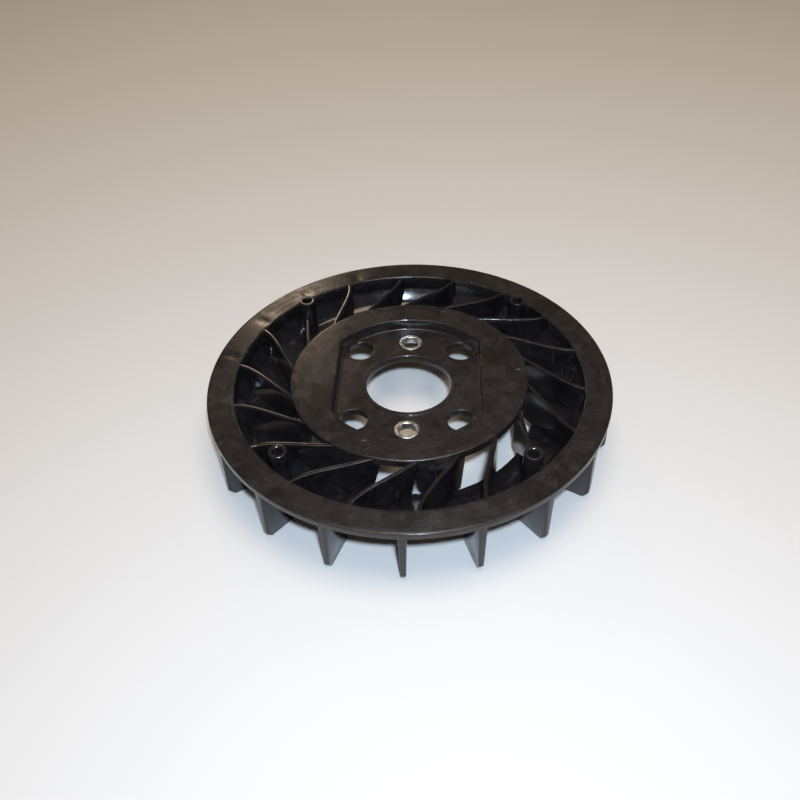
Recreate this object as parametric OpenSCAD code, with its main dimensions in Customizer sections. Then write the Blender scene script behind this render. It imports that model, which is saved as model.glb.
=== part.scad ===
// Moulded fan wheel for the flywheel of a small engine.
// One black moulding (hub, ring, back plate, blades, posts) with two steel sleeves pressed in.
// Z = 0 is the hub's seating face, +Z points away from the flywheel, and the axis is Z.
// One blade's outlet fin lies on -Y, and so does one sleeve.

/* [Ring] */
// Outer diameter of the ring
ring_od = 220; // [200:1:260]
// Width of the ring, from its inner edge to its outer edge
ring_w = 14.5; // [10:0.5:20]
// Thickness of the ring
ring_t = 4; // [2:0.5:6]
// Height of the ring's top face above the seating face
ring_top = 9.7; // [6:0.1:16]

/* [Hub] */
// Outer diameter of the hub
hub_od = 130; // [116:1:150]
// Rise of the hub's face above the ring's face
hub_rise = 0.8; // [0:0.1:4]
// Thickness of the hub's flange
flange_t = 3; // [2:0.5:5]
// Depth of the rim round the hub, from the hub's face
rim_depth = 4.6; // [3:0.1:8]
// Thickness of the rim and of the recess wall
hub_wall = 2.5; // [1.5:0.1:4]
// Diameter across the recess's round ends
recess_d = 99; // [90:1:110]
// Width of the recess between its flats
recess_w = 80; // [76:1:90]
// Radius of the recess's corners
recess_corner_r = 5; // [2:0.5:10]
// Thickness of the hub's floor
floor_t = 4; // [3:0.1:6]

/* [Bore and holes] */
// Diameter of the centre bore
bore_d = 47; // [30:0.5:52]
// Width of the lip round the bore
lip_w = 2.4; // [1:0.1:4]
// Height of the lip above the floor
lip_h = 0.6; // [0.2:0.1:2]
// Diameter of the four clearance holes
hole_d = 15.4; // [8:0.1:16]
// Pitch circle of the four clearance holes
hole_pcd = 81.4; // [76:0.1:84]

/* [Sleeves] */
// Outer diameter of a steel sleeve
sleeve_od = 13.3; // [11:0.1:15]
// Inner diameter of a steel sleeve
sleeve_id = 9; // [6:0.1:10]
// Distance between the two sleeves' axes
sleeve_spacing = 72.6; // [70:0.1:80]
// How far a sleeve stands above the floor
sleeve_proud = 0.35; // [0:0.05:1]

/* [Back plate] */
// Gap in plan between the hub's edge and the back plate's inner edge
plate_gap = 4; // [2:0.5:10]
// Thickness of the back plate, measured along the axis
plate_t = 2; // [1.5:0.1:4]
// Distance in plan from the ring's inner edge in to the knee where the plate's wall starts
wall_run = 6; // [4:0.5:16]
// Height of the wall's upright part, down from the ring's underside
wall_land = 4.3; // [2:0.1:6]
// Thickness of the plate's wall, measured in plan
wall_t = 2.5; // [1.5:0.1:4]
// Height of the back plate's upper face at its knee
plate_knee_z = -6.5; // [-9:0.1:-4]
// Height of the back plate's upper face at its inner edge
plate_inner_z = -11.6; // [-20:0.1:-6]

/* [Blades] */
// Number of blades
blade_count = 18; // [18:1:18]
// Thickness of a blade
blade_t = 2.4; // [1.6:0.1:4]
// How far a blade's top edge lies below the ring's top face
blade_drop = 0.3; // [0:0.1:2]
// Angle between a blade's outer end and its outlet fin
blade_offset = 4.5; // [3:0.1:6]
// Angle that a blade gains from the ring in to the hub
blade_sweep = 19.8; // [10:0.1:26]
// Slant of a blade from the radius where it meets the ring
blade_lead = 13; // [0:1:25]
// Distance that a blade's root reaches in under the hub
blade_root = 4; // [3:0.5:6]
// Distance from the hub's edge out to a blade's foot
blade_setback = 0.3; // [0.2:0.1:3]
// Thickness of the walls that close four passages at their inner ends
closing_t = 2.2; // [1.5:0.1:2.4]

/* [Outlet fins] */
// Thickness of a fin at the ring
fin_top_t = 4.4; // [3:0.1:6]
// Thickness of a fin at its tip
fin_tip_t = 2.4; // [1.5:0.1:4]
// Depth of the fin tips below the seating face
fin_depth = 26.8; // [18:0.1:40]
// Radial length of a fin at its tip
fin_length = 22; // [12:0.5:28]
// Radial size of the chamfer on a fin's tip
fin_chamfer_r = 3; // [1:0.5:5]
// Axial size of the chamfer on a fin's tip
fin_chamfer_z = 4.5; // [1:0.5:8]

/* [Screw posts] */
// Outer diameter of a screw post
post_od = 9.5; // [8:0.1:12]
// Diameter of the screw hole
post_hole_d = 5.4; // [3:0.1:6]
// Depth of the screw hole
post_hole_depth = 16; // [8:0.5:18]
// Height of the posts' tops above the ring's top face
post_rise = 5.3; // [0:0.1:12]
// Gap between a post and the ring's inner wall
post_gap = 1.65; // [0.5:0.05:4]
// Chamfer at the mouth of the screw hole
post_chamfer = 0.5; // [0.1:0.1:0.8]

/* [Hidden] */
$fn = 96;
eps = 0.01;
black = "#2b2826";
steel = "#c9ccce";

ring_r = ring_od / 2;
ring_in_r = ring_r - ring_w;
ring_bottom = ring_top - ring_t;
hub_r = hub_od / 2;
hub_top = ring_top + hub_rise;
flange_bottom = hub_top - flange_t;
rim_bottom = hub_top - rim_depth;
rim_in_r = hub_r - hub_wall;
plate_in_r = hub_r + plate_gap;
plate_knee_r = ring_in_r - wall_run;
wall_foot_z = ring_bottom - wall_land;
blade_top = ring_top - blade_drop;
root_r = hub_r - blade_root;
fin_in_r = ring_r - fin_length;
fin_tip_z = -fin_depth;
post_top = ring_top + post_rise;
post_r = ring_in_r - post_gap - post_od / 2;
blade_pitch = 360 / blade_count;
first_fin = 270;
blade_steps = 12;
fin_setback = 0.5;

// Shares of the back plate's thickness that a blade's members reach into it before it is cut out.
// They differ, so that no two members share a face.
wall_sink = 0.35;
outline_sink = 0.5;
fin_sink = 0.65;

BLADES = ["blade_01", "blade_02", "blade_03", "blade_04", "blade_05", "blade_06",
          "blade_07", "blade_08", "blade_09", "blade_10", "blade_11", "blade_12",
          "blade_13", "blade_14", "blade_15", "blade_16", "blade_17", "blade_18"];
CLOSING_WALLS = ["closing_wall_1", "closing_wall_2", "closing_wall_3", "closing_wall_4"];
CLOSED_AFTER = [6, 8, 15, 17];
POSTS = ["screw_post_1", "screw_post_2", "screw_post_3", "screw_post_4"];
SLEEVES = ["steel_sleeve_front", "steel_sleeve_rear"];

// Points of an arc about a centre, from one angle to another.
function arc(centre, r, from, to, steps) =
    [for (i = [0 : steps]) let (a = from + (to - from) * i / steps) centre + r * [cos(a), sin(a)]];

function inner_points(points) = [for (i = [1 : len(points) - 2]) points[i]];

// The recess's plan: two flats, two round ends and four rounded corners.
// grow moves its whole outline outwards.
module recess_plan(grow) {
    end_r = recess_d / 2 + grow;
    corner_r = recess_corner_r + grow;
    corner_x = recess_w / 2 + grow - corner_r;
    corner_y = sqrt(pow(end_r - corner_r, 2) - pow(corner_x, 2));
    tangent_a = atan2(corner_y, corner_x);
    half = concat(
        arc([corner_x, corner_y], corner_r, 0, tangent_a, 6),
        inner_points(arc([0, 0], end_r, tangent_a, 180 - tangent_a, 30)),
        arc([-corner_x, corner_y], corner_r, 180 - tangent_a, 180, 6)
    );
    polygon(concat(half, -half));
}

// Hub: a flange with a turned-down rim, and a double-D recess whose floor carries the bore,
// the clearance holes and the sleeves.
module hub_plate() {
    color(black) difference() {
        union() {
            difference() {
                translate([0, 0, rim_bottom]) cylinder(r = hub_r, h = rim_depth);
                translate([0, 0, rim_bottom - 1]) cylinder(r = rim_in_r, h = rim_depth - flange_t + 1);
            }
            linear_extrude(flange_bottom + flange_t / 2) recess_plan(hub_wall);
        }
        difference() {
            translate([0, 0, floor_t]) linear_extrude(hub_top) recess_plan(0);
            cylinder(d = bore_d + 2 * lip_w, h = floor_t + lip_h);
        }
        translate([0, 0, -1]) cylinder(d = bore_d, h = hub_top);
        for (a = [45 : 90 : 315])
            rotate(a) translate([hole_pcd / 2, 0, -1]) cylinder(d = hole_d, h = hub_top);
        for (side = [-1, 1])
            translate([0, side * sleeve_spacing / 2, -1]) cylinder(d = sleeve_od, h = hub_top);
    }
}

// Flat outer ring that shrouds the blades' front ends.
module shroud_ring() {
    color(black) translate([0, 0, ring_bottom]) difference() {
        cylinder(r = ring_r, h = ring_t);
        translate([0, 0, -1]) cylinder(r = ring_in_r, h = ring_t + 2);
    }
}

// Height of the back plate's upper face: a shallow cone up to the knee, then a steep slope.
function plate_top_z(r) = r < plate_knee_r
    ? plate_inner_z + (plate_knee_z - plate_inner_z) * (r - plate_in_r) / (plate_knee_r - plate_in_r)
    : plate_knee_z + (wall_foot_z - plate_knee_z) * (r - plate_knee_r) / wall_run;

// Back plate: a dish that falls gently towards the hub and rises steeply, then upright, to the
// ring's underside.
module back_plate() {
    color(black) rotate_extrude() polygon([
        [plate_in_r, plate_inner_z],
        [plate_in_r, plate_inner_z - plate_t],
        [plate_knee_r + wall_t / 2, plate_knee_z - plate_t],
        [ring_in_r + wall_t, wall_foot_z],
        [ring_in_r + wall_t, ring_bottom],
        [ring_in_r, ring_bottom],
        [ring_in_r, wall_foot_z],
        [plate_knee_r, plate_knee_z]
    ]);
}

// Angle of a blade's centre line at radius r, counted from its outlet fin.
function blade_angle(r) =
    let (x = ring_in_r - r,
         span = ring_in_r - hub_r,
         rate = tan(blade_lead) / ring_in_r * 180 / PI)
    blade_offset + rate * x + (blade_sweep - rate * span) * pow(x / span, 2);

function on_blade(r) = r * [cos(blade_angle(r)), sin(blade_angle(r))];

// Unit normal of a blade's centre line at radius r, on the side of growing angle.
function blade_normal(r) =
    let (d = on_blade(r + eps) - on_blade(r - eps))
    [-d[1], d[0]] / norm(d);

function side_point(r, distance) = on_blade(r) + distance * blade_normal(r);

function wall_side(distance) = [
    for (i = [0 : blade_steps])
        side_point(root_r - 1 + (ring_in_r - root_r + 2) * i / blade_steps, distance)
];

function backwards(points) = [for (i = [len(points) - 1 : -1 : 0]) points[i]];

// Swept wall between the hub and the ring, in plan.
module wall_plan() {
    polygon(concat(wall_side(-blade_t / 2), backwards(wall_side(blade_t / 2))));
}

// Height inside the back plate, at a share of its thickness below its upper face.
function in_plate_z(r, share) = plate_top_z(r) - share * plate_t;

// The knee's point inside the back plate, in a list that is empty where the knee isn't past r.
function knee_past(r, share) =
    r < plate_knee_r ? [[plate_knee_r, in_plate_z(plate_knee_r, share)]] : [];

// Space above a surface inside the back plate, from one radius to another past the knee.
module above_plate(from_r, to_r, share) {
    rotate_extrude() polygon(concat(
        [[from_r, in_plate_z(from_r, share)]],
        knee_past(from_r, share),
        [[to_r, in_plate_z(to_r, share)], [to_r, hub_top + 1], [from_r, hub_top + 1]]
    ));
}

// Whole outline of a blade: under the hub, up to the ring, out under it, down to the fin's tip,
// and back along the inside of the plate to the blade's foot.
module blade_outline() {
    foot_r = hub_r + blade_setback;
    rotate_extrude() polygon(concat(
        [
            [root_r, flange_bottom],
            [rim_in_r, flange_bottom],
            [rim_in_r, rim_bottom],
            [hub_r, rim_bottom],
            [hub_r, blade_top],
            [ring_in_r, blade_top],
            [ring_in_r, ring_bottom],
            [ring_r, ring_bottom],
            [ring_r, fin_tip_z + fin_chamfer_z],
            [ring_r - fin_chamfer_r, fin_tip_z],
            [fin_in_r, fin_tip_z],
            [fin_in_r, in_plate_z(fin_in_r, outline_sink)]
        ],
        fin_in_r > plate_knee_r ? [[plate_knee_r, in_plate_z(plate_knee_r, outline_sink)]] : [],
        [[foot_r + 1, in_plate_z(foot_r + 1, outline_sink)], [foot_r, plate_top_z(foot_r)]]
    ));
}

// Half the thickness of a fin at a height.
function fin_half_t(z) =
    (fin_tip_t + (fin_top_t - fin_tip_t) * (z - fin_tip_z) / (ring_bottom - fin_tip_z)) / 2;

// Radial plate whose thickness tapers to its tip.
module fin_plate() {
    rotate([90, 0, 90]) translate([0, 0, fin_in_r - 1]) linear_extrude(fin_length + 2) polygon([
        [-fin_half_t(ring_top), ring_top],
        [-fin_half_t(fin_tip_z - 1), fin_tip_z - 1],
        [fin_half_t(fin_tip_z - 1), fin_tip_z - 1],
        [fin_half_t(ring_top), ring_top]
    ]);
}

// Makes a plan into a column from below the fin tips to above the hub.
module column() {
    translate([0, 0, fin_tip_z]) linear_extrude(fin_depth + hub_top + 1) children();
}

// One blade: a swept wall in the dish and an outlet fin behind it, cut round the back plate and
// any post that they meet.
module blade(index) {
    azimuth = first_fin + index * blade_pitch;
    color(black) difference() {
        rotate(azimuth) intersection() {
            union() {
                intersection() {
                    column() wall_plan();
                    above_plate(root_r - 2, ring_in_r + 2, wall_sink);
                }
                difference() {
                    fin_plate();
                    above_plate(fin_in_r - 2, ring_in_r + fin_setback, fin_sink);
                }
            }
            blade_outline();
        }
        back_plate();
        for (a = [45 : 90 : 315])
            rotate(a) translate([post_r, 0, fin_tip_z]) cylinder(d = post_od, h = fin_depth + post_top);
    }
}

function turned(point, angle) =
    [point[0] * cos(angle) - point[1] * sin(angle), point[0] * sin(angle) + point[1] * cos(angle)];

// Wall that closes the inner end of the passage after a blade. It slopes from the hub's rim to
// the back plate's inner edge and ends at the two blades' faces.
module closing_wall(index) {
    color(black) rotate(first_fin + CLOSED_AFTER[index] * blade_pitch) intersection() {
        rotate_extrude() polygon([
            [hub_r - closing_t, rim_bottom],
            [hub_r, rim_bottom],
            [plate_in_r, plate_inner_z],
            [plate_in_r, plate_inner_z - plate_t],
            [plate_in_r - closing_t, plate_inner_z - plate_t]
        ]);
        translate([0, 0, fin_tip_z]) linear_extrude(fin_depth + hub_top) polygon(concat(
            wall_side(blade_t / 2),
            [for (point = backwards(wall_side(-blade_t / 2))) turned(point, blade_pitch)]
        ));
    }
}

// Hollow post for a thread-forming screw, standing on the back plate.
module screw_post(index) {
    color(black) rotate(45 + 90 * index) difference() {
        translate([post_r, 0, plate_inner_z]) cylinder(d = post_od, h = post_top - plate_inner_z);
        translate([post_r, 0, post_top - post_hole_depth])
            cylinder(d = post_hole_d, h = post_hole_depth + 1);
        translate([post_r, 0, post_top - post_chamfer])
            cylinder(d1 = post_hole_d, d2 = post_hole_d + 4 * post_chamfer, h = 2 * post_chamfer);
        rotate_extrude() polygon([
            [plate_in_r, plate_inner_z],
            [plate_in_r, plate_inner_z - 1],
            [ring_in_r, plate_inner_z - 1],
            [ring_in_r, wall_foot_z],
            [plate_knee_r, plate_knee_z]
        ]);
    }
}

// Steel sleeve that carries the clamping load of one bolt through the floor.
module steel_sleeve(side) {
    color(steel) translate([0, side * sleeve_spacing / 2, 0]) difference() {
        cylinder(d = sleeve_od, h = floor_t + sleeve_proud);
        translate([0, 0, -1]) cylinder(d = sleeve_id, h = floor_t + sleeve_proud + 2);
    }
}

hub_plate();
shroud_ring();
back_plate();
for (i = [0 : blade_count - 1])
    blade(i);
for (i = [0 : 3]) {
    closing_wall(i);
    screw_post(i);
}
for (i = [0 : 1])
    steel_sleeve(2 * i - 1);
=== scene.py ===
# Moulded cooling fan wheel for the flywheel of a small engine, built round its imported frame.
# The wheel is one black nylon moulding with two plated steel sleeves. +Z points away from the
# flywheel, and the sections below go from the rim inwards.
import math

import bmesh
import bpy
from mathutils import Matrix, Vector, noise


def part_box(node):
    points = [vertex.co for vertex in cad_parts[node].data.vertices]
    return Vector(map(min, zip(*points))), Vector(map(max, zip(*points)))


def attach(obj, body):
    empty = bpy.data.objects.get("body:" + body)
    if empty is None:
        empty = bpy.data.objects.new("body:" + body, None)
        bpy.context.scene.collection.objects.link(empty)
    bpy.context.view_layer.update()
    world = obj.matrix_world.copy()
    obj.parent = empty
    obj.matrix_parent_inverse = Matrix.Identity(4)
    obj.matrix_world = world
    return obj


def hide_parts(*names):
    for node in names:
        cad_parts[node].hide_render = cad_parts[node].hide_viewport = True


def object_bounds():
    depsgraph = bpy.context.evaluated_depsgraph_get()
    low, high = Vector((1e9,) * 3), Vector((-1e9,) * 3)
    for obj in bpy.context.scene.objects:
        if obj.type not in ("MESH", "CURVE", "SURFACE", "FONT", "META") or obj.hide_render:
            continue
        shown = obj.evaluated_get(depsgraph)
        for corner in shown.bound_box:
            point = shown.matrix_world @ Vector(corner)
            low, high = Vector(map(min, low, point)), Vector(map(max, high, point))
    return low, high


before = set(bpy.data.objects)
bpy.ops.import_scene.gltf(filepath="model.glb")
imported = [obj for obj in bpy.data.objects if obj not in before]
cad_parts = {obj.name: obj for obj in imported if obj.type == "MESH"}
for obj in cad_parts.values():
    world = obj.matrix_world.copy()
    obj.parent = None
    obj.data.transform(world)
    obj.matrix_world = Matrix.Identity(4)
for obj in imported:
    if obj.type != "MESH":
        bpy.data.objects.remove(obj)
cad_low, cad_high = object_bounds()
MM = 0.001


# ---------------------------------------------------------------------------------------------
# Shroud ring: the flat rim round the blades' front ends. It is part of one injection moulding in
# black glass-filled nylon, so its edges are slightly round, its face sinks a little where a fin
# thickens it from below, and the melt left dull and glossy tongues round it.
ring_low, ring_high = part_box("shroud_ring")
ring_r = ring_high.y
ring_top = ring_high.z
ring_bottom = ring_low.z
RING_WIDTH = 14.5 * MM
RING_EDGE = 0.6 * MM
RING_STEPS = 540
RING_CELL = 1.3 * MM
ring_in_r = ring_r - RING_WIDTH

FIN_COUNT = 18
FIRST_FIN = math.radians(270)
fin_pitch = 2 * math.pi / FIN_COUNT

SINK_DEPTH = 0.20 * MM
SINK_R = ring_in_r + 6 * MM
SINK_LENGTH = 4.5 * MM
SINK_WIDTH = 2.6 * MM
SINK_LEAD = 0.9 * MM
WAVE_DEPTH = 0.06 * MM
WAVE_LENGTH = 28 * MM


def rounded_section(bm, corners, centre=(0, 0)):
    """A closed outline in the plane of the axis. Each corner is (radius, height, rounding)."""
    verts = [bm.verts.new((centre[0] + r, centre[1], z)) for r, z, _ in corners]
    bm.faces.new(verts)
    for vert, (_, _, rounding) in zip(verts, corners):
        bmesh.ops.bevel(bm, geom=[vert], offset=rounding, segments=3, profile=0.5,
                        affect="VERTICES", material=-1)
    bmesh.ops.delete(bm, geom=bm.faces[:], context="FACES_ONLY")


def split_long_edges(bm, cell):
    """Divides each edge of a section into pieces of about one cell."""
    for edge in bm.edges[:]:
        cuts = int(edge.calc_length() / cell)
        if cuts:
            bmesh.ops.subdivide_edges(bm, edges=[edge], cuts=cuts)


def turn(bm, steps, centre=(0, 0)):
    """Spins the section in bm a full turn about an upright axis."""
    bmesh.ops.spin(bm, geom=bm.verts[:] + bm.edges[:], cent=(centre[0], centre[1], 0),
                   axis=(0, 0, 1), angle=2 * math.pi, steps=steps, use_merge=True)
    bmesh.ops.remove_doubles(bm, verts=bm.verts, dist=0.001 * MM)


def finish_piece(bm, name, material, slot, *nodes):
    """Makes bm an object that rides on the wheel and stands for the named nodes."""
    bmesh.ops.recalc_face_normals(bm, faces=bm.faces)
    mesh = bpy.data.meshes.new(name)
    bm.to_mesh(mesh)
    bm.free()
    mesh.shade_smooth()
    mesh.set_sharp_from_angle(angle=math.radians(40))
    mesh.materials.append(material)
    piece = bpy.data.objects.new(name, mesh)
    bpy.context.scene.collection.objects.link(piece)
    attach(piece, "root")
    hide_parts(*nodes)
    return piece


def colour(code):
    """Linear colour of an sRGB hex code."""
    channels = [int(code[i:i + 2], 16) / 255 for i in (1, 3, 5)]
    linear = [c / 12.92 if c <= 0.04045 else ((c + 0.055) / 1.055) ** 2.4 for c in channels]
    return (*linear, 1)


def add_node(tree, kind, inputs, **settings):
    """Adds a node with its settings. An input is a value, or another node's output to link."""
    node = tree.nodes.new(kind)
    for name, value in settings.items():
        setattr(node, name, value)
    for key, value in inputs.items():
        if isinstance(value, bpy.types.NodeSocket):
            tree.links.new(value, node.inputs[key])
        else:
            node.inputs[key].default_value = value
    return node


def moulded_nylon(name, deep, pale, gloss, scuffed, drag):
    """Black glass-filled nylon 6.6 as moulded. It is a warm black with a satin skin; the fibres
    near the skin give faint grey swirls, and each patch of melt set a little duller or glossier.
    deep and pale are its colours, gloss and scuffed its roughness where clean and where rubbed,
    and drag is how strongly the melt's streaks round the axis change its gloss."""
    material = bpy.data.materials.new(name)
    material.use_nodes = True
    tree = material.node_tree
    shader = tree.nodes["Principled BSDF"]
    shader.inputs["IOR"].default_value = 1.53
    place = add_node(tree, "ShaderNodeTexCoord", {}).outputs["Object"]

    # Fibre swirls, 11 mm across, stretched by their own distortion.
    swirl = add_node(tree, "ShaderNodeTexNoise",
                     {"Vector": place, "Scale": 1 / (11 * MM), "Detail": 6.0, "Roughness": 0.6,
                      "Distortion": 1.2})
    tint = add_node(tree, "ShaderNodeMapRange",
                    {"Value": swirl.outputs["Fac"], "From Min": 0.35, "From Max": 0.75,
                     "To Min": 0.0, "To Max": 1.0})
    base = add_node(tree, "ShaderNodeMix",
                    {0: tint.outputs[0], 6: colour(deep), 7: colour(pale)}, data_type="RGBA")

    # Flow lines: thin pale curves, 0.4 mm wide, where two tongues of melt met here and there.
    front = add_node(tree, "ShaderNodeTexNoise",
                     {"Vector": place, "Scale": 1 / (26 * MM), "Detail": 1.5, "Roughness": 0.4,
                      "Distortion": 0.8})
    line = add_node(tree, "ShaderNodeMapRange",
                    {"Value": front.outputs["Fac"], "From Min": 0.530, "From Max": 0.538,
                     "To Min": 0.0, "To Max": 1.0}, interpolation_type="SMOOTHSTEP")
    line_end = add_node(tree, "ShaderNodeMapRange",
                        {"Value": front.outputs["Fac"], "From Min": 0.538, "From Max": 0.566,
                         "To Min": 1.0, "To Max": 0.0}, interpolation_type="SMOOTHSTEP")
    flow = add_node(tree, "ShaderNodeMath", {0: line.outputs[0], 1: line_end.outputs[0]},
                    operation="MULTIPLY")
    here = add_node(tree, "ShaderNodeMapRange",
                    {"Value": tint.outputs[0], "From Min": 0.45, "From Max": 0.75,
                     "To Min": 0.0, "To Max": 0.22})
    flow = add_node(tree, "ShaderNodeMath", {0: flow.outputs[0], 1: here.outputs[0]},
                    operation="MULTIPLY")

    # Fine scratches: two sets of long thin streaks at different angles, about 0.5 mm wide so
    # that they show.
    streaks = []
    for turned, seed in ((0.5, 0.31), (-0.9, 0.77)):
        lay = add_node(tree, "ShaderNodeMapping",
                       {"Vector": place, "Rotation": (0, 0, turned), "Location": (seed, seed, 0),
                        "Scale": (1 / (0.9 * MM), 1 / (26 * MM), 1 / (26 * MM))})
        streak = add_node(tree, "ShaderNodeTexNoise",
                          {"Vector": lay.outputs[0], "Scale": 1.0, "Detail": 2.0,
                           "Roughness": 0.5, "Distortion": 0.25})
        streaks.append(add_node(tree, "ShaderNodeMapRange",
                                {"Value": streak.outputs["Fac"], "From Min": 0.72,
                                 "From Max": 0.78, "To Min": 0.0, "To Max": 0.25}))
    scratch = add_node(tree, "ShaderNodeMath",
                       {0: streaks[0].outputs[0], 1: streaks[1].outputs[0]}, operation="MAXIMUM")
    marks = add_node(tree, "ShaderNodeMath",
                     {0: flow.outputs[0], 1: scratch.outputs[0]}, operation="MAXIMUM")
    marked = add_node(tree, "ShaderNodeMix",
                      {0: marks.outputs[0], 6: base.outputs[2], 7: colour("#4E4A46")},
                      data_type="RGBA")
    tree.links.new(marked.outputs[2], shader.inputs["Base Color"])

    # Drag streaks round the axis: 2 mm wide and some 30 mm long, laid out by angle and radius.
    axes = add_node(tree, "ShaderNodeSeparateXYZ", {0: place})
    azimuth = add_node(tree, "ShaderNodeMath", {0: axes.outputs["Y"], 1: axes.outputs["X"]},
                       operation="ARCTAN2")
    flat = add_node(tree, "ShaderNodeVectorMath", {0: place, 1: (1, 1, 0)}, operation="MULTIPLY")
    radius = add_node(tree, "ShaderNodeVectorMath", {0: flat.outputs[0]}, operation="LENGTH")
    round_way = add_node(tree, "ShaderNodeCombineXYZ",
                         {"X": azimuth.outputs[0], "Y": radius.outputs["Value"],
                          "Z": axes.outputs["Z"]})
    lane = add_node(tree, "ShaderNodeMapping",
                    {"Vector": round_way.outputs[0], "Scale": (3.0, 1 / (2 * MM), 1 / (6 * MM))})
    dragged = add_node(tree, "ShaderNodeTexNoise",
                       {"Vector": lane.outputs[0], "Scale": 1.0, "Detail": 4.0,
                        "Roughness": 0.6, "Distortion": 0.5})
    streaky = add_node(tree, "ShaderNodeMapRange",
                       {"Value": dragged.outputs["Fac"], "From Min": 0.35, "From Max": 0.65,
                        "To Min": -drag, "To Max": drag})

    # Rubbed patches, 18 mm across, with soft ragged edges.
    rub = add_node(tree, "ShaderNodeTexNoise",
                   {"Vector": place, "Scale": 1 / (18 * MM), "Detail": 5.0, "Roughness": 0.6})
    rubbed = add_node(tree, "ShaderNodeMapRange",
                      {"Value": rub.outputs["Fac"], "From Min": 0.40, "From Max": 0.66,
                       "To Min": gloss, "To Max": scuffed}, interpolation_type="SMOOTHSTEP")
    rough = add_node(tree, "ShaderNodeMath", {0: rubbed.outputs[0], 1: streaky.outputs[0]},
                     operation="ADD")
    tree.links.new(rough.outputs[0], shader.inputs["Roughness"])

    # Spark-eroded mould grain, drawn 0.9 mm across so that it shows, over slow waves in the skin.
    grain = add_node(tree, "ShaderNodeTexNoise",
                     {"Vector": place, "Scale": 1 / (0.9 * MM), "Detail": 2.0})
    grain_bump = add_node(tree, "ShaderNodeBump",
                          {"Height": grain.outputs["Fac"], "Strength": 0.2,
                           "Distance": 0.04 * MM})
    wave_bump = add_node(tree, "ShaderNodeBump",
                         {"Height": dragged.outputs["Fac"], "Strength": 0.3,
                          "Distance": 0.05 * MM, "Normal": grain_bump.outputs[0]})
    tree.links.new(wave_bump.outputs[0], shader.inputs["Normal"])
    return material


# The copy of the black nylon for the ring and the hub, whose faces lie open to the lamps.
flat_nylon = moulded_nylon("satin_black_nylon", "#151211", "#2B2625", 0.17, 0.30, 0.05)

ring = bmesh.new()
rounded_section(ring, [(ring_in_r, ring_bottom, RING_EDGE), (ring_r, ring_bottom, RING_EDGE),
                       (ring_r, ring_top, RING_EDGE), (ring_in_r, ring_top, RING_EDGE)])
split_long_edges(ring, RING_CELL)
turn(ring, RING_STEPS)
for vert in ring.verts:
    if vert.co.z > ring_top - 0.05 * MM:
        azimuth = math.atan2(vert.co.y, vert.co.x)
        past_fin = (azimuth - FIRST_FIN + fin_pitch / 2) % fin_pitch - fin_pitch / 2
        r = vert.co.xy.length
        along = (r - SINK_R) / SINK_LENGTH
        across = (past_fin * r - SINK_LEAD) / SINK_WIDTH
        vert.co.z -= SINK_DEPTH * math.exp(-along ** 2 - across ** 2)
        vert.co.z -= WAVE_DEPTH * (0.5 + noise.noise(vert.co / WAVE_LENGTH))
finish_piece(ring, "fan_shroud_ring", flat_nylon, "black_nylon", "shroud_ring")


# ---------------------------------------------------------------------------------------------
# Hub: a flange with a turned-down rim and a double-D recess, in the same moulding. The recess's
# floor is clamped to the flywheel through two steel sleeves, and four plain holes clear its bolt
# heads. Ejector pins left four shallow round marks on the flange.
hub_low, hub_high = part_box("hub_plate")
hub_r = hub_high.y
hub_top = hub_high.z
hub_base = hub_low.z
RIM_T = 2.5 * MM
RIM_DEPTH = 4.6 * MM
FLANGE_T = 3.0 * MM
RECESS_R = 49.5 * MM
RECESS_HALF_W = 40.0 * MM
RECESS_CORNER_R = 5.0 * MM
RECESS_WALL_T = 2.5 * MM
RECESS_DRAFT = 0.3 * MM
FLOOR_T = 4.0 * MM
BORE_R = 23.5 * MM
LIP_W = 2.4 * MM
LIP_H = 0.6 * MM
HOLE_R = 7.7 * MM
HOLE_CENTRE_R = 40.7 * MM
FLANGE_EDGE = 0.7 * MM
FLOOR_EDGE = 0.4 * MM
PIN_MARK_R = 3.0 * MM
PIN_MARK_DEPTH = 0.3 * MM
PIN_MARK_DRAFT = 0.1 * MM
PIN_MARK_MARGIN = 0.5 * MM
PIN_MARK_LEVEL = 0.6 * MM
PIN_MARKS = [(58, 71), (60, 178), (57.5, 249), (60, 2)]
HUB_STEPS = 192
HOLE_STEPS = 48
ROUND_STEPS = 4
rim_bottom = hub_top - RIM_DEPTH
flange_bottom = hub_top - FLANGE_T
floor_top = hub_base + FLOOR_T


def circle(bm, r, z, steps, centre=(0, 0)):
    """A level circle of edges."""
    made = bmesh.ops.create_circle(bm, radius=r, segments=steps,
                                   matrix=Matrix.Translation((centre[0], centre[1], z)))
    return list({edge for vert in made["verts"] for edge in vert.link_edges})


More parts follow.
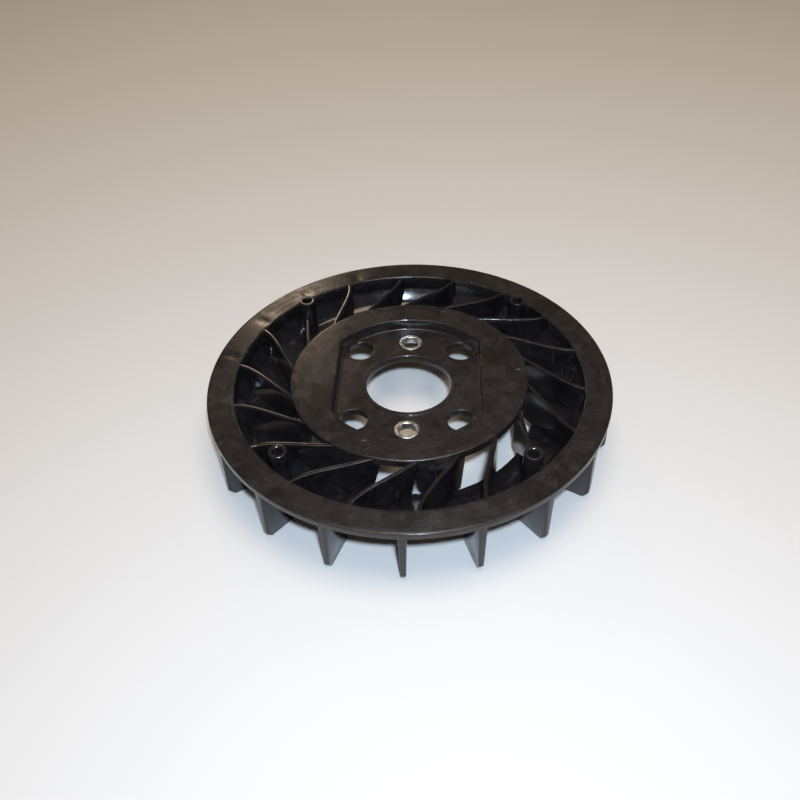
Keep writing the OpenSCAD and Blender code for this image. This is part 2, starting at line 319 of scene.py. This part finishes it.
def double_d(bm, grow, z):
    """The recess's outline as a level loop of edges, moved outwards by grow."""
    end_r = RECESS_R + grow
    corner_r = RECESS_CORNER_R + grow
    corner_x = RECESS_HALF_W + grow - corner_r
    corner_y = math.sqrt((end_r - corner_r) ** 2 - corner_x ** 2)
    tangent = math.atan2(corner_y, corner_x)
    start = bm.verts.new((RECESS_HALF_W + grow, corner_y, z))
    half, tip = [start], start
    for centre_x, centre_y, angle, steps in ((corner_x, corner_y, tangent, 8),
                                             (0, 0, math.pi - 2 * tangent, 40),
                                             (-corner_x, corner_y, tangent, 8)):
        known = set(bm.verts)
        made = bmesh.ops.spin(bm, geom=[tip], cent=(centre_x, centre_y, z), axis=(0, 0, 1),
                              angle=angle, steps=steps)
        tip = next(part for part in made["geom_last"] if isinstance(part, bmesh.types.BMVert))
        half += [vert for vert in bm.verts if vert not in known]
    edges = list({edge for vert in half for edge in vert.link_edges})
    copy = bmesh.ops.duplicate(bm, geom=half + edges)
    twin = [part for part in copy["geom"] if isinstance(part, bmesh.types.BMVert)]
    bmesh.ops.rotate(bm, verts=twin, cent=(0, 0, 0), matrix=Matrix.Rotation(math.pi, 3, "Z"))
    bm.verts.index_update()
    twin_start, twin_tip = copy["vert_map"][start], copy["vert_map"][tip]
    edges += [part for part in copy["geom"] if isinstance(part, bmesh.types.BMEdge)]
    edges += [bm.edges.new((tip, twin_start)), bm.edges.new((twin_tip, start))]
    return edges


def loft(bm, loops):
    """Bridges each loop to the next. The next one stands well clear meanwhile, because two
    loops in one plane may be bridged twisted."""
    for near, far in zip(loops, loops[1:]):
        moved = list({vert for edge in far for vert in edge.verts})
        bmesh.ops.translate(bm, verts=moved, vec=(0, 0, 0.1))
        bmesh.ops.bridge_loops(bm, edges=near + far)
        bmesh.ops.translate(bm, verts=moved, vec=(0, 0, -0.1))


def fill(bm, *loops):
    """Fills the level face between an outer loop and the loops inside it."""
    bmesh.ops.triangle_fill(bm, use_beauty=True, use_dissolve=False,
                            edges=[edge for loop in loops for edge in loop])


def convex_rim(outline, z, size, outside, facing):
    """Loops from a level face round an outer corner to its wall. outside is 1 where the
    material lies outside the wall and -1 where it lies inside. facing is 1 on an upper face."""
    loops = [outline(outside * size * 2, z)]
    for step in range(ROUND_STEPS + 1):
        a = math.pi / 2 * step / ROUND_STEPS
        loops.append(outline(outside * size * (1 - math.sin(a)),
                             z - facing * size * (1 - math.cos(a))))
    return loops


def concave_rim(outline, z, size, outside, facing):
    """Loops from a wall round an inner corner to a level face, with the same signs."""
    loops = []
    for step in range(ROUND_STEPS + 1):
        a = math.pi / 2 * step / ROUND_STEPS
        loops.append(outline(-outside * size * (1 - math.cos(a)),
                             z + facing * size * (1 - math.sin(a))))
    return loops + [outline(-outside * size * 2, z)]


hub = bmesh.new()


def hub_circle(r, steps=HUB_STEPS, centre=(0, 0)):
    """An outline function for a circle of nominal radius r."""
    return lambda grow, z: circle(hub, r + grow, z, steps, centre)


def recess_outline(nominal):
    """An outline function for the recess, moved outwards by nominal."""
    return lambda grow, z: double_d(hub, nominal + grow, z)


flange_rim = convex_rim(hub_circle(hub_r), hub_top, FLANGE_EDGE, -1, 1)
rim_outside = convex_rim(hub_circle(hub_r), rim_bottom, FLOOR_EDGE, -1, -1)
rim_inside = convex_rim(hub_circle(hub_r - RIM_T), rim_bottom, FLOOR_EDGE, 1, -1)
under_flange = concave_rim(hub_circle(hub_r - RIM_T), flange_bottom, FLANGE_EDGE, 1, -1)
loft(hub, flange_rim + rim_outside[::-1] + rim_inside + under_flange)

recess_back = concave_rim(recess_outline(RECESS_WALL_T), flange_bottom, FLANGE_EDGE, -1, -1)
recess_foot = convex_rim(recess_outline(RECESS_WALL_T), hub_base, FLOOR_EDGE, -1, -1)
loft(hub, recess_back[::-1] + recess_foot[::-1])
fill(hub, under_flange[-1], recess_back[-1])

recess_rim = convex_rim(recess_outline(0), hub_top, FLANGE_EDGE * 0.7, 1, 1)
recess_floor = concave_rim(recess_outline(-RECESS_DRAFT), floor_top, FLANGE_EDGE, 1, 1)
loft(hub, recess_rim + recess_floor)

lip_foot = concave_rim(hub_circle(BORE_R + LIP_W, 96), floor_top, FLOOR_EDGE / 2, -1, 1)
lip_outside = convex_rim(hub_circle(BORE_R + LIP_W, 96), floor_top + LIP_H, FLOOR_EDGE / 2, -1, 1)
lip_inside = convex_rim(hub_circle(BORE_R, 96), floor_top + LIP_H, FLOOR_EDGE, 1, 1)
bore_foot = convex_rim(hub_circle(BORE_R, 96), hub_base, FLOOR_EDGE, 1, -1)
loft(hub, lip_foot[::-1] + lip_outside[::-1] + lip_inside + bore_foot[::-1])

floor_loops = [recess_floor[-1], lip_foot[-1]]
base_loops = [recess_foot[0], bore_foot[0]]
for corner in range(4):
    a = math.radians(45 + 90 * corner)
    centre = (HOLE_CENTRE_R * math.cos(a), HOLE_CENTRE_R * math.sin(a))
    mouth = convex_rim(hub_circle(HOLE_R, HOLE_STEPS, centre), floor_top, FLOOR_EDGE, 1, 1)
    foot = convex_rim(hub_circle(HOLE_R, HOLE_STEPS, centre), hub_base, FLOOR_EDGE, 1, -1)
    loft(hub, mouth + foot[::-1])
    floor_loops.append(mouth[0])
    base_loops.append(foot[0])
for name in ("steel_sleeve_front", "steel_sleeve_rear"):
    low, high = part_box(name)
    centre = ((low.x + high.x) / 2, (low.y + high.y) / 2)
    seat_r = (high.y - low.y) / 2
    mouth = convex_rim(hub_circle(seat_r, HOLE_STEPS, centre), floor_top, FLOOR_EDGE / 2, 1, 1)
    foot = convex_rim(hub_circle(seat_r, HOLE_STEPS, centre), hub_base, FLOOR_EDGE / 2, 1, -1)
    loft(hub, mouth + foot[::-1])
    floor_loops.append(mouth[0])
    base_loops.append(foot[0])
fill(hub, *floor_loops)
fill(hub, *base_loops)

flange_loops = [flange_rim[0], recess_rim[0]]
for mark_r, mark_azimuth in PIN_MARKS:
    a = math.radians(mark_azimuth)
    centre = (mark_r * MM * math.cos(a), mark_r * MM * math.sin(a))
    mark = hub_circle(PIN_MARK_R, HOLE_STEPS, centre)
    dip = [mark(PIN_MARK_MARGIN, hub_top), mark(0.15 * MM, hub_top),
           mark(0, hub_top - 0.1 * MM), mark(-PIN_MARK_DRAFT, hub_top - PIN_MARK_DEPTH),
           mark(-PIN_MARK_LEVEL, hub_top - PIN_MARK_DEPTH)]
    loft(hub, dip)
    fill(hub, dip[-1])
    flange_loops.append(dip[0])
fill(hub, *flange_loops)
finish_piece(hub, "fan_hub", flat_nylon, "black_nylon", "hub_plate")


# ---------------------------------------------------------------------------------------------
# Back plate: a dish behind the blades. It falls gently towards the hub, leaves an open ring
# round it, and rises in a steep slope and a short upright wall to the ring's underside. It is
# 2 mm thick and is part of the same moulding.
plate_low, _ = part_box("back_plate")
PLATE_T = 2.0 * MM
PLATE_GAP = 4.0 * MM
PLATE_EDGE = 0.4 * MM
WALL_RUN = 6.0 * MM
WALL_LAND = 4.3 * MM
WALL_T = 2.5 * MM
KNEE_Z = -6.5 * MM
KNEE_ROUND_FRONT = 2.5 * MM
KNEE_ROUND_BACK = 2.0 * MM
FOOT_ROUND_FRONT = 0.8 * MM
FOOT_ROUND_BACK = 1.0 * MM
WALL_TOP_ROUND = 0.1 * MM
WALL_SETBACK = 0.05 * MM
PLATE_CELL = 6 * MM
PLATE_STEPS = 240
plate_in_r = hub_r + PLATE_GAP
plate_inner_z = plate_low.z + PLATE_T
knee_r = ring_in_r - WALL_RUN
wall_foot_z = ring_bottom - WALL_LAND


def plate_z(r):
    """Height of the back plate's upper face at a radius inside its upright wall."""
    if r < knee_r:
        share = (r - plate_in_r) / (knee_r - plate_in_r)
        return plate_inner_z + (KNEE_Z - plate_inner_z) * share
    return KNEE_Z + (wall_foot_z - KNEE_Z) * (r - knee_r) / WALL_RUN


# A shaded copy of the same nylon for the back plate, posts, blades and closing walls, which lie
# down in the passages: its darker colours are painted shade.
shaded_nylon = moulded_nylon("black_nylon_shaded_copy", "#0F0D0E", "#1F1D20", 0.11, 0.20, 0.03)

plate = bmesh.new()
wall_top = ring_bottom + RING_EDGE
rounded_section(plate, [(plate_in_r, plate_inner_z, PLATE_EDGE),
                        (plate_in_r, plate_inner_z - PLATE_T, PLATE_EDGE),
                        (knee_r + WALL_T / 2, KNEE_Z - PLATE_T, KNEE_ROUND_BACK),
                        (ring_in_r + WALL_T, wall_foot_z, FOOT_ROUND_BACK),
                        (ring_in_r + WALL_T, wall_top, WALL_TOP_ROUND),
                        (ring_in_r + WALL_SETBACK, wall_top, WALL_TOP_ROUND),
                        (ring_in_r, wall_foot_z, FOOT_ROUND_FRONT),
                        (knee_r, KNEE_Z, KNEE_ROUND_FRONT)])
split_long_edges(plate, PLATE_CELL)
turn(plate, PLATE_STEPS)
finish_piece(plate, "fan_back_plate", shaded_nylon, "black_nylon", "back_plate")


# ---------------------------------------------------------------------------------------------
# Screw posts: four hollow posts that stand on the back plate's slope and rise past the ring, for
# the thread-forming screws of a debris screen. They are cored in the mould, so they taper.
POST_R = 4.75 * MM
POST_FOOT_R = 5.2 * MM
POST_HOLE_R = 2.7 * MM
POST_HOLE_DEPTH = 16 * MM
POST_SINK = 0.7 * MM
POST_CORE_DRAFT = 0.1 * MM
POST_CORE_TIP = 1 * MM
POST_AXIS_R = 0.02 * MM
POST_MOUTH = 0.5 * MM
POST_EDGE = 0.3 * MM
POST_STEPS = 48
for index in range(1, 5):
    node = f"screw_post_{index}"
    low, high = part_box(node)
    centre = ((low.x + high.x) / 2, (low.y + high.y) / 2)
    away = Vector((*centre, 0)).normalized()
    hole_z = high.z - POST_HOLE_DEPTH
    post = bmesh.new()
    rounded_section(post, [(POST_HOLE_R + POST_MOUTH, high.z, 0.05 * MM),
                           (POST_HOLE_R, high.z - POST_MOUTH, 0.05 * MM),
                           (POST_HOLE_R - POST_CORE_DRAFT, hole_z, 0.05 * MM),
                           (POST_AXIS_R, hole_z - POST_CORE_TIP, 0.005 * MM),
                           (POST_AXIS_R, low.z, 0.005 * MM),
                           (POST_FOOT_R, low.z, 0.05 * MM),
                           (POST_R, high.z, POST_EDGE)], centre)
    turn(post, POST_STEPS, centre)
    slope = (wall_foot_z - KNEE_Z) / WALL_RUN
    on_slope = away * knee_r + Vector((0, 0, KNEE_Z - POST_SINK))
    cut = bmesh.ops.bisect_plane(post, geom=post.verts[:] + post.edges[:] + post.faces[:],
                                 plane_co=on_slope, plane_no=Vector((0, 0, 1)) - slope * away,
                                 clear_inner=True)
    rim = [part for part in cut["geom_cut"] if isinstance(part, bmesh.types.BMEdge)]
    bmesh.ops.triangle_fill(post, use_beauty=True, use_dissolve=False, edges=rim)
    finish_piece(post, f"fan_post_{index}", shaded_nylon, "black_nylon", node)


# ---------------------------------------------------------------------------------------------
# Blades: 18 swept walls that stand in the dish from the hub to the ring, each in line with a
# radial fin that hangs behind the dish. Each wall and fin tapers, so that the mould could open.
ROOT_R = hub_r - 4 * MM
FOOT_R = hub_r + 0.3 * MM
BLADE_TOP_T = 2.1 * MM
BLADE_FOOT_T = 3.6 * MM
BLADE_DROP = 0.3 * MM
BLADE_EDGE = 0.35 * MM
BLADE_OFFSET = math.radians(4.5)
BLADE_SWEEP = math.radians(19.8)
BLADE_LEAD = math.tan(math.radians(13)) / ring_in_r
FIN_TOP_T = 4.4 * MM
FIN_TIP_T = 2.4 * MM
FIN_LENGTH = 22 * MM
FIN_CHAMFER_R = 3 * MM
FIN_CHAMFER_Z = 4.5 * MM
FIN_EDGE = 0.45 * MM
fin_tip_z = cad_low.z
blade_top = ring_top - BLADE_DROP
blade_span = ring_in_r - hub_r


def blade_angle(r):
    """Angle of a blade's centre line at a radius, counted from its fin."""
    inward = ring_in_r - r
    bend = BLADE_SWEEP - BLADE_LEAD * blade_span
    return BLADE_OFFSET + BLADE_LEAD * inward + bend * (inward / blade_span) ** 2


def on_blade(r, aside):
    """Point of a blade's plan at a radius, aside from its centre line."""
    def centre_line(at):
        return Vector((at * math.cos(blade_angle(at)), at * math.sin(blade_angle(at))))
    ahead = (centre_line(r + 0.01 * MM) - centre_line(r - 0.01 * MM)).normalized()
    return centre_line(r) + aside * Vector((-ahead.y, ahead.x))


def past_blade(vert, azimuth):
    """Turns a vertex about the axis by the blade's bend at its radius, on from an azimuth."""
    vert.co.rotate(Matrix.Rotation(azimuth + blade_angle(vert.co.xy.length), 3, "Z"))


def fin_half_t(z):
    """Half the thickness of a fin at a height."""
    return (FIN_TIP_T + (FIN_TOP_T - FIN_TIP_T) * (z - fin_tip_z) / (ring_bottom - fin_tip_z)) / 2


def swept_wall(bm):
    """A bar cut along its length and height, then bent along the blade's plan."""
    bar = bmesh.ops.create_cube(bm, size=1)["verts"]
    edges = {edge for vert in bar for edge in vert.link_edges}
    along = [edge for edge in edges if abs(edge.verts[0].co.x - edge.verts[1].co.x) > 0.5]
    bmesh.ops.subdivide_edges(bm, edges=along, cuts=26, use_grid_fill=True)
    upright = [edge for edge in bm.edges if abs(edge.verts[0].co.z - edge.verts[1].co.z) > 0.5]
    bmesh.ops.subdivide_edges(bm, edges=upright, cuts=5, use_grid_fill=True)
    top_edges = [edge for edge in bm.edges
                 if all(vert.co.z > 0.49 for vert in edge.verts)
                 and abs(edge.verts[0].co.x - edge.verts[1].co.x) > 0.001]
    for vert in bm.verts:
        share, side, rise = vert.co.x + 0.5, 2 * vert.co.y, vert.co.z + 0.5
        inner_r = FOOT_R + (ROOT_R - FOOT_R) * rise
        r = inner_r + (ring_in_r + 1 * MM - inner_r) * share
        floor = plate_z(min(r, ring_in_r)) - PLATE_T / 2
        half_t = (BLADE_FOOT_T + (BLADE_TOP_T - BLADE_FOOT_T) * rise) / 2
        vert.co.xy = on_blade(r, side * half_t)
        vert.co.z = floor + (blade_top - floor) * rise
    bmesh.ops.bevel(bm, geom=top_edges, offset=BLADE_EDGE, segments=3, profile=0.5,
                    affect="EDGES", clamp_overlap=True, material=-1)


def prism(bm, points, direction):
    """Extrudes a flat outline along a direction into a closed prism."""
    face = bm.faces.new([bm.verts.new(point) for point in points])
    made = bmesh.ops.extrude_face_region(bm, geom=[face], use_keep_orig=True)
    moved = [part for part in made["geom"] if isinstance(part, bmesh.types.BMVert)]
    bmesh.ops.translate(bm, verts=moved, vec=direction)


def outlet_fin(bm):
    """The radial fin: its outline stays behind the dish's upper face, and it thins to its tip."""
    outline = [(ring_in_r + 1 * MM, ring_bottom + 0.5 * MM),
               (ring_r, ring_bottom + 0.5 * MM),
               (ring_r, fin_tip_z + FIN_CHAMFER_Z),
               (ring_r - FIN_CHAMFER_R, fin_tip_z),
               (ring_r - FIN_LENGTH, fin_tip_z),
               (ring_r - FIN_LENGTH, plate_z(ring_r - FIN_LENGTH) - PLATE_T / 2),
               (ring_in_r + 1 * MM, wall_foot_z - PLATE_T / 2)]
    prism(bm, [(r, -0.5, z) for r, z in outline], (0, 1, 0))
    for vert in bm.verts:
        vert.co.y *= 2 * fin_half_t(vert.co.z)
    corners = [edge for edge in bm.edges if edge.calc_face_angle() > math.radians(30)
               and not all(vert.co.z > ring_bottom for vert in edge.verts)]
    bmesh.ops.bevel(bm, geom=corners, offset=FIN_EDGE, segments=2, profile=0.5,
                    affect="EDGES", clamp_overlap=True, material=-1)


def solid(shape):
    """A loose object made by one of the shape functions, for joining."""
    bm = bmesh.new()
    shape(bm)
    bmesh.ops.recalc_face_normals(bm, faces=bm.faces)
    mesh = bpy.data.meshes.new("blade_part")
    bm.to_mesh(mesh)
    bm.free()
    made = bpy.data.objects.new("blade_part", mesh)
    bpy.context.scene.collection.objects.link(made)
    return made


def joined(base, *steps):
    """The mesh of base after union with or difference from other objects, all then removed."""
    for tool, operation in steps:
        step = base.modifiers.new("join", "BOOLEAN")
        step.object = tool
        step.operation = operation
        step.solver = "EXACT"
    scene_state = bpy.context.evaluated_depsgraph_get()
    mesh = bpy.data.meshes.new_from_object(base.evaluated_get(scene_state))
    for used in [base] + [tool for tool, _ in steps]:
        bpy.data.objects.remove(used)
    return mesh


def post_plug(azimuth):
    """A plug in the place of the post at an azimuth, as seen from a blade's own fin."""
    low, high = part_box("screw_post_1")
    r = Vector(((low.x + high.x) / 2, (low.y + high.y) / 2)).length

    def shape(bm):
        place = Matrix.Translation((r * math.cos(azimuth), r * math.sin(azimuth), 0))
        bmesh.ops.create_cone(bm, cap_ends=True, radius1=POST_R - 0.4 * MM,
                              radius2=POST_R - 0.4 * MM, depth=0.1, segments=32, matrix=place)
    return solid(shape)


plain_blade = joined(solid(swept_wall), (solid(outlet_fin), "UNION"))
cut_blade = joined(solid(swept_wall), (post_plug(math.radians(5)), "DIFFERENCE"),
                   (solid(outlet_fin), "UNION"))
for index in range(FIN_COUNT):
    azimuth = FIRST_FIN + index * fin_pitch
    nearest_post = round((math.degrees(azimuth) - 45) / 90) * 90 + 45
    has_post = abs(math.degrees(azimuth) + 5 - nearest_post) < 1
    blade = bmesh.new()
    blade.from_mesh(cut_blade if has_post else plain_blade)
    bmesh.ops.rotate(blade, verts=blade.verts, cent=(0, 0, 0),
                     matrix=Matrix.Rotation(azimuth, 3, "Z"))
    finish_piece(blade, f"fan_blade_{index + 1:02d}", shaded_nylon, "black_nylon",
                 f"blade_{index + 1:02d}")
bpy.data.meshes.remove(plain_blade)
bpy.data.meshes.remove(cut_blade)


# ---------------------------------------------------------------------------------------------
# Closing walls: four passages are shut at their inner ends by a sloping wall from the hub's rim
# to the back plate's inner edge, moulded between two blades.
CLOSING_T = 2.2 * MM
CLOSING_CELL = 2 * MM
CLOSING_STEPS = 16
CLOSED_AFTER = (7, 9, 16, 18)
rim_inner_r = hub_r - CLOSING_T
for index, after in enumerate(CLOSED_AFTER, 1):
    wall = bmesh.new()
    section = [(rim_inner_r, 0, rim_bottom), (hub_r, 0, rim_bottom),
               (plate_in_r, 0, plate_inner_z), (plate_in_r, 0, plate_inner_z - PLATE_T),
               (plate_in_r - CLOSING_T, 0, plate_inner_z - PLATE_T)]
    wall.faces.new([wall.verts.new(point) for point in section])
    split_long_edges(wall, CLOSING_CELL)
    bmesh.ops.spin(wall, geom=wall.faces[:], cent=(0, 0, 0), axis=(0, 0, 1),
                   angle=fin_pitch, steps=CLOSING_STEPS, use_duplicate=False)
    for vert in wall.verts:
        past_blade(vert, FIRST_FIN + (after - 1) * fin_pitch)
    finish_piece(wall, f"fan_closing_wall_{index}", shaded_nylon, "black_nylon",
                 f"closing_wall_{index}")


# ---------------------------------------------------------------------------------------------
# Steel sleeves: short lengths of zinc-plated steel tube, turned and chamfered, and pressed into
# the hub's floor. Each takes the clamping load of one bolt, so that the plastic isn't crushed.
SLEEVE_WALL = 2.15 * MM
SLEEVE_STEPS = 72


def plated_steel(name):
    """Bright zinc on turned steel: a cool silver, with a fine grain and faint blotches."""
    material = bpy.data.materials.new(name)
    material.use_nodes = True
    tree = material.node_tree
    shader = tree.nodes["Principled BSDF"]
    shader.inputs["Metallic"].default_value = 1.0
    place = add_node(tree, "ShaderNodeTexCoord", {}).outputs["Object"]
    cloud = add_node(tree, "ShaderNodeTexNoise",
                     {"Vector": place, "Scale": 1 / (3 * MM), "Detail": 4.0})
    base = add_node(tree, "ShaderNodeMix",
                    {0: cloud.outputs["Fac"], 6: colour("#B9BDBF"), 7: colour("#E2E4E2")},
                    data_type="RGBA")
    tree.links.new(base.outputs[2], shader.inputs["Base Color"])
    rough = add_node(tree, "ShaderNodeMapRange",
                     {"Value": cloud.outputs["Fac"], "From Min": 0.3, "From Max": 0.7,
                      "To Min": 0.22, "To Max": 0.40})
    tree.links.new(rough.outputs[0], shader.inputs["Roughness"])
    grain = add_node(tree, "ShaderNodeTexNoise",
                     {"Vector": place, "Scale": 1 / (0.5 * MM), "Detail": 2.0})
    bump = add_node(tree, "ShaderNodeBump",
                    {"Height": grain.outputs["Fac"], "Strength": 0.2, "Distance": 0.03 * MM})
    tree.links.new(bump.outputs[0], shader.inputs["Normal"])
    return material


zinc_steel = plated_steel("zinc_plated_steel")
for name in ("steel_sleeve_front", "steel_sleeve_rear"):
    low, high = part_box(name)
    centre = ((low.x + high.x) / 2, (low.y + high.y) / 2)
    outer_r = (high.y - low.y) / 2
    inner_r = outer_r - SLEEVE_WALL
    sleeve = bmesh.new()
    rounded_section(sleeve, [(inner_r, low.z, 0.3 * MM), (outer_r, low.z, 0.3 * MM),
                             (outer_r, high.z, 0.3 * MM), (inner_r, high.z, 0.5 * MM)], centre)
    turn(sleeve, SLEEVE_STEPS, centre)
    finish_piece(sleeve, f"fan_{name}", zinc_steel, "plated_steel", name)


# ---------------------------------------------------------------------------------------------
# Stage: a pale table under the fins' tips, soft lamps and the camera.
TABLE_HALF_SIZE = 6
floor_mesh = bpy.data.meshes.new("table")
floor_bm = bmesh.new()
bmesh.ops.create_grid(floor_bm, x_segments=1, y_segments=1, size=TABLE_HALF_SIZE,
                      matrix=Matrix.Translation((0, 0, cad_low.z)))
floor_bm.to_mesh(floor_mesh)
floor_bm.free()
table = bpy.data.objects.new("table", floor_mesh)
bpy.context.scene.collection.objects.link(table)
paper = bpy.data.materials.new("white_paper")
paper.use_nodes = True
paper.node_tree.nodes["Principled BSDF"].inputs["Base Color"].default_value = colour("#D0CDC9")
paper.node_tree.nodes["Principled BSDF"].inputs["Roughness"].default_value = 0.8
floor_mesh.materials.append(paper)

world = bpy.data.worlds.new("room")
bpy.context.scene.world = world
world.use_nodes = True
world.node_tree.nodes["Background"].inputs["Color"].default_value = colour("#FFE6C8")
world.node_tree.nodes["Background"].inputs["Strength"].default_value = 0.14


def soft_lamp(name, place, aim, size, power, tint):
    """A square soft box at a place, aimed at a point."""
    lamp = bpy.data.lights.new(name, "AREA")
    lamp.size = size
    lamp.energy = power
    lamp.color = colour(tint)[:3]
    box = bpy.data.objects.new(name, lamp)
    box.location = place
    box.rotation_euler = (Vector(aim) - Vector(place)).to_track_quat("-Z", "Y").to_euler()
    bpy.context.scene.collection.objects.link(box)


soft_lamp("window", (-0.292, 1.047, 0.672), (-0.075, 0.07, 0), 0.13, 0.5, "#FFE3C4")
soft_lamp("ceiling", (0.1, 0.0, 1.6), (0, 0, 0), 1.0, 15, "#FFE9D0")
soft_lamp("tube", (-0.039, 0.741, 1.34), (0, 0.08, 0), 0.05, 0.35, "#D8ECFF")
soft_lamp("bulb", (0.020, 0.755, 1.33), (0, 0.08, 0), 0.03, 0.04, "#FFF0C8")
soft_lamp("front", (0.046, -0.397, 0.444), (0, 0.3, 0), 0.035, 4.7, "#D5E9FF")

CAMERA_PLACE = (17.1 * MM, -352.8 * MM, 315.4 * MM)
CAMERA_ELEVATION = math.radians(42.48)
CAMERA_AZIMUTH = math.radians(3.63)
CAMERA_ROLL = math.radians(-2.2)
camera_data = bpy.data.cameras.new("camera")
camera_data.lens = 38.26
camera_data.sensor_width = 36
camera_data.clip_start = 0.01
camera = bpy.data.objects.new("camera", camera_data)
bpy.context.scene.collection.objects.link(camera)
camera.matrix_world = (Matrix.Translation(CAMERA_PLACE)
                       @ Matrix.Rotation(CAMERA_AZIMUTH, 4, "Z")
                       @ Matrix.Rotation(math.pi / 2 - CAMERA_ELEVATION, 4, "X")
                       @ Matrix.Rotation(CAMERA_ROLL, 4, "Z"))
bpy.context.scene.camera = camera
bpy.context.scene.view_settings.view_transform = "Standard"
